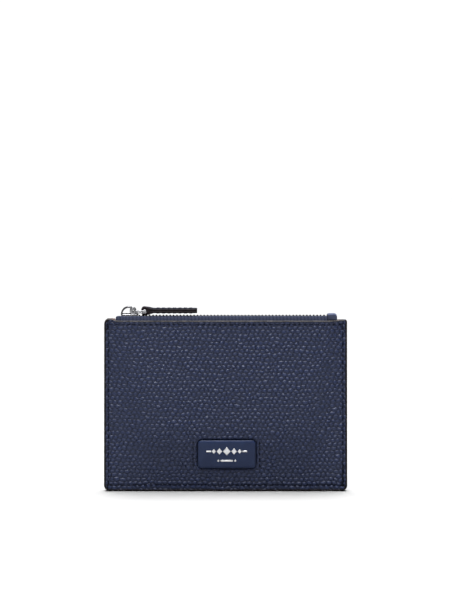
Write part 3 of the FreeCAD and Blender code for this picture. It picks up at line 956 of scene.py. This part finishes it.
def label_pad():
    """Padded label: soft rim, gently domed face, plain back."""
    columns, rows = 111, 61
    base = GAP - LABEL_SINK
    verts = []
    crown = []

    def rounded(u, v):
        """Square (u, v) in -1..1 mapped into the rounded rectangle."""
        x = u * LABEL_HW
        z = v * LABEL_HH
        corner_x = LABEL_HW - LABEL_R
        corner_z = LABEL_HH - LABEL_R
        if abs(x) > corner_x and abs(z) > corner_z:
            px = (abs(x) - corner_x) / LABEL_R
            pz = (abs(z) - corner_z) / LABEL_R
            k = max(px, pz) / math.hypot(px, pz)
            x = math.copysign(corner_x + px * k * LABEL_R, x)
            z = math.copysign(corner_z + pz * k * LABEL_R, z)
        return x, z

    def spread(i, count):
        """Grid line i, from -1 to 1, denser towards the rim."""
        t = -1 + 2 * i / (count - 1)
        return math.copysign(1 - (1 - abs(t)) ** 1.35, t)

    for is_back in (False, True):
        for j in range(rows):
            for i in range(columns):
                dx, dz = rounded(spread(i, columns), spread(j, rows))
                x = LABEL_CX + dx * (1 - 0.006 * (1 - (dz / LABEL_HH) ** 2))
                z = LABEL_CZ + dz
                roll = clamp(-label_distance(x, z) / 1.15)
                out = base
                if not is_back:
                    edge = LABEL_EDGE * math.sqrt(1 - (1 - roll) ** 2)
                    dent = 0.02 * noise.noise(Vector((x * 0.25, z * 0.25, 4.0)))
                    out += LABEL_SKIRT + edge + label_dome(dx, dz) * roll + dent
                verts.append((x, -(half_thickness(x, z, -1) + out), z))
                crown.append(0.0 if is_back else roll)
    obj = mesh_piece("label_pad", verts, slab_faces(columns, rows), "pouch", LABEL_LEATHER,
                     ("label_plaque", "label_filler"), "smooth_leather", crown)


label_pad()


def label_face_y(x, z):
    """The label's face, for what is printed on it."""
    out = GAP - LABEL_SINK + LABEL_SKIRT + LABEL_EDGE + label_dome(x - LABEL_CX, z - LABEL_CZ)
    return -(half_thickness(x, z, -1) + out)


def foil_patch(corners, cells):
    """Filled quadrilateral with a little thickness on the label's face."""
    verts = []
    for lift in (0.10, -0.12):
        for j in range(cells + 1):
            for i in range(cells + 1):
                a = [p + (q - p) * i / cells for p, q in zip(corners[0], corners[1])]
                b = [p + (q - p) * i / cells for p, q in zip(corners[3], corners[2])]
                x, z = (p + (q - p) * j / cells for p, q in zip(a, b))
                at_edge = i in (0, cells) or j in (0, cells)
                off = lift - (0.03 if at_edge and lift > 0 else 0.0)
                verts.append((x, label_face_y(x, z) - off, z))
    return verts, slab_faces(cells + 1, cells + 1)


def foil_ornament():
    """Silver lozenges between rules over a short bar, laid on the label's face."""
    upper = LABEL_CZ + 1.7
    lower = upper - 5.2
    lozenges = [(LABEL_CX, upper, 4.2, 4.4)]
    bars = []
    for s in (-1, 1):
        lozenges.append((LABEL_CX + s * 3.9, upper, 3.0, 3.4))
        lozenges.append((LABEL_CX + s * 6.9, upper, 2.2, 2.5))
        lozenges.append((LABEL_CX + s * 4.5, lower, 1.3, 1.3))
        bars.append((LABEL_CX + s * 9.6, upper, 2.6, 0.8))
    bars.append((LABEL_CX, lower, 6.6, 0.9))
    parts = []
    for x, z, w, h in lozenges:
        parts.append(foil_patch([(x - w / 2, z), (x, z - h / 2), (x + w / 2, z),
                                 (x, z + h / 2)], 7))
    for x, z, w, h in bars:
        parts.append(foil_patch([(x - w / 2, z - h / 2), (x + w / 2, z - h / 2),
                                 (x + w / 2, z + h / 2), (x - w / 2, z + h / 2)], 6))
    mesh_piece("foil_lozenges", *merge(parts), "pouch", FOIL, ("label_ornament",), "foil")


foil_ornament()


# ------------------------------------------------------------------ stitches
def thread_stitch(a, b, out, radius=0.21, sink=0.16):
    """One twisted stitch from a to b whose ends dive into the leather."""
    run = (b - a).normalized()
    cross = out.cross(run).normalized()
    length = (b - a).length
    rings = 13
    sides = 8
    verts = []
    for i in range(rings):
        t = i / (rings - 1)
        end = min(t, 1 - t) * 2
        lift = 0.02 - (sink + radius + 0.12) * (1 - min(1.0, end * 2.6)) ** 2
        r = radius * (0.62 + 0.38 * math.sqrt(min(1.0, end * 2.2)))
        centre = a.lerp(b, t) + out * lift
        for k in range(sides):
            angle = 2 * math.pi * k / sides
            ply = 1 + 0.16 * math.cos(2 * angle - 2 * math.pi * t * length / 1.1)
            p = centre + cross * (math.cos(angle) * r * ply) + out * (math.sin(angle) * r * ply)
            verts.append(tuple(p))
    return verts, capped_rows(verts, sides)


def wall_stitch(x0, z0, x1, z1, side, press=0.0):
    """A stitch that follows the wall, slightly sunk in its groove."""
    ends = []
    for x, z in ((x0, z0), (x1, z1)):
        y = half_thickness(x, z, side) - 0.20 - press
        if side > 0:
            y += slot_build_up(z)
        ends.append(Vector((x, side * y, z)))
    return thread_stitch(ends[0], ends[1], Vector((0, side, 0)))


def seam_threads():
    half_len = 1.12
    low = BOTTOM_STITCH
    high = HEIGHT - MOUTH_STITCH
    for side, name in ((-1, "front"), (1, "back")):
        rnd = random.Random(5 + side)
        parts = []
        for line_z in (low, high):
            half = side_stitch_x(line_z)
            for x in stitch_centres(-half, half):
                j = rnd.uniform(-0.05, 0.05)
                parts.append(wall_stitch(x - half_len, line_z + j, x + half_len, line_z - j, side))
        for s in (-1, 1):
            for z in stitch_centres(low, high):
                j = rnd.uniform(-0.05, 0.05)
                z0, z1 = z - half_len, z + half_len
                if side > 0 and slot_build_up(z0) > slot_build_up(z1) + 0.3:
                    # a stitch doesn't bridge a slot's edge: it keeps to its longer side
                    top = max(t for t in SLOT_TOPS if t < z1)
                    if top - z0 > z1 - top:
                        z1 = top - 0.05
                    else:
                        z0 = top + 0.05
                parts.append(wall_stitch(s * side_stitch_x(z0) + j, z0,
                                         s * side_stitch_x(z1) - j, z1, side))
        mesh_piece(f"{name}_seam_thread", *merge(parts), "pouch", THREAD,
                   (f"{name}_stitching",), "thread")


seam_threads()


def label_threads():
    parts = [wall_stitch(x, z - 1.0, x, z + 1.0, -1, press=-0.1)
             for x in LABEL_STITCH_X for z in stitch_centres(*LABEL_STITCH_Z)]
    mesh_piece("label_thread", *merge(parts), "pouch", LABEL_THREAD_SHADED, ("label_stitching",),
               "thread")


label_threads()


# ------------------------------------------------------------------ zip
TAPE_LEFT = span("zip_tape_front")[0]
TAPE_HALF = 0.2
TAPE_IN = 1.3
BEAD_Y = 1.25
BEAD_R = 0.42
TAPE_CORNER = 1.1
TAPE_FOLD = {-1: 94.3, 1: 93.85}
TAPE_FOLD_WIDTH = 0.52
TAPE_FOLD_END = 54.05
TAPE_RIGHT = 57.0


def offset_line(points, distance):
    """Points moved sideways from an open line, to its left."""
    moved = []
    for i, (a, b) in enumerate(points):
        pa, pb = points[max(0, i - 1)]
        na, nb = points[min(len(points) - 1, i + 1)]
        ta, tb = na - pa, nb - pb
        length = math.hypot(ta, tb) or 1.0
        moved.append((a - tb / length * distance, b + ta / length * distance))
    return moved


def tape_section(x, side, folded):
    """Closed ring (q, z) of one half of the tape, q from the middle outwards."""
    drop = 0.0
    run = x - TAPE_LEFT
    if run < TAPE_CORNER:
        drop = TAPE_CORNER - math.sqrt(TAPE_CORNER ** 2 - (TAPE_CORNER - run) ** 2)

    def q_at(z):
        return half_thickness(x, z, side) - TAPE_IN

    rib = 0.035 * math.sin(2 * math.pi * x / 0.62)
    outer_q = q_at(91.8) + TAPE_HALF + rib
    levels = (84.6, 86.5, 88.5, 90.3, 91.2)
    if not folded:
        line = [(q_at(z), z) for z in (*levels[:-1], 91.0, 91.4, 91.75)]
        return offset_line(line, TAPE_HALF + rib) + offset_line(line, -TAPE_HALF)[::-1]
    fold_top = TAPE_FOLD[side] - drop + 0.5 * rib
    width = min(TAPE_FOLD_WIDTH, outer_q - BEAD_Y - BEAD_R - 0.15)
    r = width / 2
    ring = [(q_at(z) + TAPE_HALF + rib, z) for z in levels]
    ring += [polar(outer_q - r, fold_top - r, r, a) for a in range(0, 181, 20)]
    top = ZIP_Z + TAPE_HALF - drop
    ring += [(outer_q - width, (fold_top - r + top) / 2 + 0.1), (outer_q - width - 0.06, top)]
    bead_z = ZIP_Z - drop
    ring += [polar(BEAD_Y, bead_z, BEAD_R, a) for a in (28, *range(60, 301, 30), 332)]
    inner = outer_q - 2 * TAPE_HALF
    ring += [(inner - 0.35, bead_z - TAPE_HALF), (inner - 0.1, bead_z - TAPE_HALF - 0.08),
             (inner, bead_z - TAPE_HALF - 0.4)]
    ring += [(q_at(z) - TAPE_HALF, z) for z in reversed(levels)]
    return ring


def zip_tapes():
    for side, name in ((-1, "front"), (1, "back")):
        folded_xs = steps([(TAPE_LEFT, 0.08), (TAPE_LEFT + 1.2, 0.155 if FINE else 0.4),
                           TAPE_FOLD_END])
        flat_xs = steps([(TAPE_FOLD_END, 0.3), TAPE_RIGHT])
        parts = []
        for folded, xs in ((True, folded_xs), (False, flat_xs)):
            verts = []
            for x in xs:
                ring = tape_section(x, side, folded)
                verts += [(x, side * q, z) for q, z in ring]
            parts.append((verts, capped_rows(verts, len(ring))))
        bead = [(Vector((x, side * BEAD_Y, ZIP_Z)), Vector((0, 1, 0)), Vector((0, 0, 1)))
                for x in (TAPE_FOLD_END - 0.25, TAPE_RIGHT)]
        parts.append(tube(bead, [polar(0, 0, BEAD_R, a) for a in range(0, 360, 36)]))
        outward_piece(f"zip_tape_{name}_cloth", *merge(parts), "pouch", TAPE_CLOTH,
                      (f"zip_tape_{name}",), "tape_cloth")


zip_tapes()


def clamp_profile(back, front, grip, height, seat):
    """C-shaped profile in (y, z) that grips the cord on the negative side."""
    return [(back, height), (back, grip), (seat, grip), (seat, -grip), (back, -grip),
            (back, -height), (front, -height), (front, height)]


def across_zip(u, v, w):
    return Vector((w, u, v))


TOOTH_PITCH = 1.82
METAL_CREASE = 42


def zip_teeth():
    outline = clamp_profile(-2.0, 0.7, 0.48, 1.0, -0.75)
    model_verts, model_faces = bevelled_prism(outline, -0.4, 0.4, across_zip, 0.13)
    for side, name in ((-1, "front"), (1, "back")):
        row = span(f"zip_teeth_{name}")
        count = round((row[1] - row[0] - 1.0) / TOOTH_PITCH) + 1
        rnd = random.Random(41 + side)
        faces = model_faces if side < 0 else turned(model_faces)
        parts = []
        for i in range(count):
            cx = row[0] + 0.5 + i * TOOTH_PITCH
            lean = rnd.uniform(-0.015, 0.015)
            lift = rnd.uniform(-0.02, 0.02)
            verts = []
            for x, y, z in model_verts:
                wide = 1.22 if y < -0.72 else 1.0 - 0.12 * clamp((y + 0.7) / 1.4)
                z *= (1.36 if z > 0 else 1.12) - 0.58 * smooth((y + 1.1) / 0.8)
                yy = y if side < 0 else -y
                verts.append((cx + x * wide + lean * (z + yy), yy, ZIP_Z + z + lift))
            parts.append((verts, faces))
        mesh_piece(f"zip_teeth_{name}_metal", *merge(parts), "pouch", TOOTH_METAL_SHADED,
                   (f"zip_teeth_{name}",), "zip_metal", sharp=METAL_CREASE)


zip_teeth()


def zip_stops():
    """Two staples on the cords at the closed end, one across both at the other."""
    parts = []
    outline = clamp_profile(-1.95, -0.35, 0.5, 0.75, -0.7)
    verts, faces = bevelled_prism(outline, -57.6, -56.1, across_zip, 0.12)
    for s in (1, -1):
        placed = [(x, s * y, z + ZIP_Z) for x, y, z in verts]
        parts.append((placed, faces if s > 0 else turned(faces)))
    mesh_piece("zip_top_staples", *merge(parts), "pouch", TOOTH_METAL_SHADED,
               ("zip_top_stops",), "zip_metal", sharp=METAL_CREASE)
    half = [(1.75, 0.95), (1.75, 0.5), (0.6, 0.5), (0.6, -0.5), (1.75, -0.5), (1.75, -0.95)]
    outline = [(-y, z) for y, z in half] + half[::-1]
    verts, faces = bevelled_prism(outline, 53.1, 55.3, across_zip, 0.12)
    verts = [(x, y, z + ZIP_Z) for x, y, z in verts]
    mesh_piece("zip_bottom_staple", verts, faces, "pouch", TOOTH_METAL_SHADED,
               ("zip_bottom_stop",), "zip_metal", sharp=METAL_CREASE)


zip_stops()


def end_tab():
    """Small leather tab folded over the zip's far end, with a painted cut edge."""
    x0, x1, y0, y1, z0, z1 = span("zip_end_tab")
    top = z1 + 0.4
    outline = [(x0, z0), (x1, z0)]
    outline += arc_points(x1 - 1.7, top - 1.7, 1.7, 0, 90, 10)
    outline += arc_points(x0 + 0.9, top - 0.9, 0.9, 90, 180, 7)
    verts, faces = bevelled_prism(outline, y0, y1, elevation, 0.7, 5)
    soft = []
    for x, y, z in verts:
        inward = 1 - 0.05 * smooth((x - x0) / 2.0) * smooth((x1 - x) / 2.0)
        pucker = 0.04 * noise.noise(Vector((x * 0.8, y * 0.8, z * 0.8)))
        soft.append((x, y * inward + pucker * (1 if y > 0 else -1), z + pucker))
    mesh_piece("end_tab_leather", soft, faces, "pouch", TAB_LEATHER_AND_SHEEN, ("zip_end_tab",),
               "smooth_leather", sharp=50)
    half = [(2.2, z1 - 0.05), (2.52, z1 - 0.35), (2.52, z0 + 0.1)]
    rim = [(-y, z) for y, z in half[::-1]] + half
    outline = offset_line(rim, 0.06) + offset_line(rim, -0.9)[::-1]
    verts, faces = bevelled_prism(outline, x0 - 0.14, x0 + 0.3, across_zip, 0.1)
    mesh_piece("end_tab_cut_edge", verts, faces, "pouch", EDGE, (), "core_leather")


end_tab()


# ------------------------------------------------------------------ slider and pull
BRIDGE = span("slider_bridge")
SLIDER_CREASE = 40
PLATE = 0.7
CHANNEL = 1.2


def rounded_rect(hx, hy, r, n):
    points = []
    for cx, cy, a0 in ((hx - r, hy - r, 0), (-hx + r, hy - r, 90),
                       (-hx + r, -hy + r, 180), (hx - r, -hy + r, 270)):
        points += arc_points(cx, cy, r, a0, a0 + 90, n)
    return points


def slider_shell():
    x0, x1, _, y1, z0, z1 = span("slider_body")
    cx = (x0 + x1) / 2
    length = (x1 - x0) / 2
    top = z1 + 0.25
    outline = [(x + cx, y) for x, y in rounded_rect(length, y1, 1.5, 8)]
    parts = [bevelled_prism(outline, low, high, plan, 0.24, 3)
             for low, high in ((z0, z0 + PLATE), (top - PLATE - 0.05, top))]
    for s in (-1, 1):
        rail = [(x + cx, y + s * (y1 - 0.32))
                for x, y in rounded_rect(length - 0.9, 0.31, 0.3, 4)]
        for a, b in ((z0 + PLATE - 0.25, ZIP_Z - 0.36), (ZIP_Z + 0.36, top - PLATE)):
            parts.append(bevelled_prism(rail, a, b, plan, 0.12))
    half = [(0.2, 0.35), (1.2, 0.72), (1.7, 0.72), (2.6, 0.2)]
    wedge = [(x0 + x, y) for x, y in half] + [(x0 + x, -y) for x, y in half[::-1]]
    parts.append(bevelled_prism(wedge, ZIP_Z - CHANNEL - 0.2, ZIP_Z + CHANNEL + 0.2, plan, 0.0))
    mesh_piece("slider_shell", *merge(parts), "slider", CHROME, ("slider_body",),
               "zip_metal", sharp=SLIDER_CREASE)


slider_shell()


def bridge_arch():
    """Half ring over the slider, its feet let into the top plate."""
    middle = (BRIDGE[1] - BRIDGE[0]) / 2 - 0.3
    centre = Vector(((BRIDGE[0] + BRIDGE[1]) / 2, 0, BRIDGE[4]))
    foot = Vector((0, 0, 0.3))
    path = []
    for i in range(45):
        t = math.pi * (i / 44)
        away = Vector((math.cos(t), 0, math.sin(t)))
        path.append((centre + away * middle, away, Vector((0, 1, 0))))
    path.insert(0, (path[0][0] - foot, *path[0][1:]))
    path.append((path[-1][0] - foot, *path[-1][1:]))
    outward_piece("slider_arch", *tube(path, rounded_rect(0.46, BRIDGE[3], 0.3, 5)), "slider",
                  ARCH_METAL_SHADED, ("slider_bridge",), "zip_metal")


bridge_arch()


LINK_PIVOT = (-49.9, 97.1)
TAB_PIVOT = (-43.0, 96.5)
TAB_END = span("pull_tab")[1]
STRAP_BOTTOM = 95.9
STRAP_HALF = 0.56
STRAP_WIDTH = 3.0
STRAP_STITCH_Y = 2.1
LOOP_PADDING = 0.35
LOOP_SQUASH = 0.8


def link():
    """Two cheeks with a round eye, and a bar at each end."""
    ex, ez = LINK_PIVOT[0] + 0.6, LINK_PIVOT[1] - 0.05
    tx, tz = TAB_PIVOT
    half = 0.8
    r = 1.75
    a_high = math.degrees(math.asin((tz + half - ez) / r))
    a_low = 360 + math.degrees(math.asin((tz - half - ez) / r))
    outline = arc_points(ex, ez, r, a_high, a_low, 30)
    outline += arc_points(tx + 1.0 - half, tz, half - 0.001, -90, 90, 12)
    slot = arc_points(tx - 1.15, tz, 0.25, -90, 90, 7)
    slot += arc_points(ex + 2.55, tz, 0.25, 90, 270, 7)
    eye = arc_points(LINK_PIVOT[0] + 1.15, ez, 0.62, 0, 342, 20)
    parts = [plate([outline, slot, eye], a, b, 0.2) for a, b in ((-2.4, -1.6), (1.6, 2.4))]
    bar = [polar(0, 0, 0.6, a) for a in range(0, 360, 18)]
    for x, z in (LINK_PIVOT, TAB_PIVOT):
        path = [(Vector((x, y, z)), Vector((1, 0, 0)), Vector((0, 0, 1))) for y in (-1.7, 1.7)]
        parts.append(tube(path, bar))
    outward_piece("pull_link_chrome", *merge(parts), "link", LINK_METAL, ("pull_link",),
                  "zip_metal", sharp=SLIDER_CREASE)


link()


def strap_path():
    """Middle line of the folded strap in (x, z), round the loop from below."""
    cx, cz = TAB_PIVOT[0] + 0.2, TAB_PIVOT[1] + 0.35
    low = STRAP_BOTTOM + STRAP_HALF
    high = low + 2 * STRAP_HALF + 0.04
    neck = cx + 5.1
    loop = [(cx + LOOP_SQUASH * (x - cx), z)
            for x, z in arc_points(cx, cz, 2.62 - STRAP_HALF, 242, 118, 24)]
    shares = [i / 9 for i in range(1, 9)]
    pts = [(x, low) for x in steps([(TAB_END - 0.02, -0.18), (TAB_END - 2.2, -0.6), neck])]
    x, z = loop[0]
    pts += [(neck + (x - neck) * t, low + (z - low) * smooth(t)) for t in shares]
    pts += loop
    x, z = loop[-1]
    pts += [(x + (neck - x) * t, z + (high - z) * smooth(t)) for t in shares]
    pts += [(x, high) for x in steps([(neck, 0.6), (TAB_END - 2.2, 0.18), TAB_END - 0.02])]
    return pts


def strap_half_width(x):
    """Narrow at the loop, wide past the shoulder, with rounded corners at the end."""
    shoulder = -41.5
    narrow = 1.45
    r = 1.6
    w = narrow + (STRAP_WIDTH - narrow) * smooth((x - shoulder + 0.9) / 1.8)
    run = TAB_END - x
    if run < r:
        w = min(w, STRAP_WIDTH - r + math.sqrt(max(0.0, r * r - (r - run) ** 2)))
    return w


def strap_ring(w, pad):
    """Section as (outward, y, crown); pad thickens the ply inwards, at the loop."""
    half = STRAP_HALF
    # Crown values near 0.5 on the inner rounding carry the strap's painted highlight line between
    # the plies.
    edge = [(-half - pad, -0.25, 0.9), (-half * 0.86 - pad, -0.06, 0.55),
            (-half * 0.4 - pad, 0.0, 0.1), (half * 0.3, 0.0, 0.0),
            (half * 0.75, -0.08, 0.15), (half, -0.34, 0.8)]
    ring = [(out, -(w + inset), crown) for out, inset, crown in edge]
    for k in range(1, 8):
        y = (w - 0.34) * (2 * k / 8 - 1)
        ring.append((half - 0.10 * groove(abs(y) - STRAP_STITCH_Y, 0.35), y, 1.0))
    ring += [(out, w + inset, crown) for out, inset, crown in edge[::-1]]
    ring += [(-half - pad, (w - 0.25) * (1 - 2 * k / 4), 0.9) for k in range(1, 4)]
    return ring


def pull_strap():
    pts = strap_path()
    verts = []
    crown = []
    for i, (x, z) in enumerate(pts):
        px, pz = pts[max(0, i - 1)]
        nx, nz = pts[min(len(pts) - 1, i + 1)]
        length = math.hypot(nx - px, nz - pz)
        # outwards is left of travel: down on the lower ply, which runs towards -X
        ox, oz = (pz - nz) / length, (nx - px) / length
        pad = LOOP_PADDING + 0.7 * smooth((x - TAB_PIVOT[0] - 0.7) / 1.2)
        pad *= smooth((TAB_PIVOT[0] + 4.2 - x) / 2.0)
        ring = strap_ring(strap_half_width(x), pad)
        verts += [(x + ox * out, y, z + oz * out) for out, y, _ in ring]
        crown += [tone for _, _, tone in ring]
    outward_piece("pull_strap", verts, capped_rows(verts, len(ring)), "tab", STRAP_LEATHER,
                  ("pull_tab",), "strap_leather", crown)


pull_strap()


def strap_threads():
    top = STRAP_BOTTOM + 4 * STRAP_HALF + 0.04
    parts = []
    for y in (-STRAP_STITCH_Y, STRAP_STITCH_Y):
        for i in range(7):
            x = TAB_END - 3.4 - i * 2.9
            for z, out in ((top - 0.02, 1), (STRAP_BOTTOM + 0.02, -1)):
                parts.append(thread_stitch(Vector((x - 1.05, y, z)), Vector((x + 1.05, y, z)),
                                           Vector((0, 0, out)), radius=0.24, sink=0.2))
    mesh_piece("pull_strap_thread", *merge(parts), "tab", THREAD, ("pull_tab_stitching",),
               "thread")


strap_threads()


# ------------------------------------------------------------------ label's tongues
def label_tongues():
    """The label's two ends, turned behind the front wall and lying flat on it."""
    x0, x1, _, _, low, high = span("label_tongues")
    cells = 9
    parts = []
    for start in (x0, x1 - 6.0):
        verts = []
        for depth in (LEATHER + 0.04, LEATHER + 0.44):
            for k in range(cells + 1):
                for j in range(cells + 1):
                    x = start + 6.0 * j / cells
                    z = low + (high - low) * k / cells
                    verts.append((x, depth - half_thickness(x, z, -1), z))
        parts.append((verts, slab_faces(cells + 1, cells + 1)))
    mesh_piece("label_tongue_leather", *merge(parts), "pouch", LABEL_LEATHER,
               ("label_tongues",), "smooth_leather")


label_tongues()


# ------------------------------------------------------------------ stage
FLOOR_Z = -0.03


def add_stage():
    """Wide pale floor that fills the view behind the object too."""
    values = [float(v) for v in range(-12, 13, 2)]
    verts = [(x, y, FLOOR_Z * MM) for y in values for x in values]
    mesh = bpy.data.meshes.new("studio_floor")
    mesh.from_pydata(verts, [], weave(len(values), len(values)))
    mesh.update()
    obj = bpy.data.objects.new("studio_floor", mesh)
    bpy.context.scene.collection.objects.link(obj)
    obj.data.materials.append(WHITE)


add_stage()


def add_light(data, place, rotation):
    light = bpy.data.objects.new(data.name, data)
    light.location = place
    light.rotation_euler = rotation
    bpy.context.scene.collection.objects.link(light)


def lighting():
    """A wide soft sun from above and slightly behind, and a long soft key in front."""
    scene = bpy.context.scene
    scene.world = bpy.data.worlds.new("studio")
    scene.world.use_nodes = True
    background = scene.world.node_tree.nodes["Background"].inputs
    background["Color"].default_value = (0.9, 0.94, 1.0, 1)
    background["Strength"].default_value = 0.14
    sun = bpy.data.lights.new("soft_overhead", "SUN")
    sun.energy = 11.6
    sun.angle = math.radians(44)
    add_light(sun, (0, 0, 0), (math.radians(-7.0), 0.0, 0.0))
    key = bpy.data.lights.new("key", "AREA")
    key.shape = "RECTANGLE"
    key.size, key.size_y = 0.8, 0.25
    key.energy = 1.5
    key.spread = math.radians(70)
    place = Vector((-0.1, -0.42, 0.98))
    towards = Vector((0, 0, 0.05)) - place
    add_light(key, place, towards.to_track_quat("-Z", "Y").to_euler())
    scene.view_settings.view_transform = "Standard"
    scene.view_settings.look = "None"
    scene.view_settings.exposure = 0.0


lighting()


def camera():
    distance = 2.6
    elevation_angle = math.radians(7.0)
    frame_width = 0.2404
    aim = Vector((0.0002, 0.0, 0.1024))
    data = bpy.data.cameras.new("camera")
    data.sensor_fit = "HORIZONTAL"
    data.sensor_width = 36.0
    data.lens = 36.0 * distance / frame_width
    data.clip_end = 20
    cam = bpy.data.objects.new("camera", data)
    offset = Vector((0, -math.cos(elevation_angle), math.sin(elevation_angle))) * distance
    cam.location = aim + offset
    cam.rotation_euler = (-offset).to_track_quat("-Z", "Y").to_euler()
    bpy.context.scene.collection.objects.link(cam)
    bpy.context.scene.camera = cam


camera()
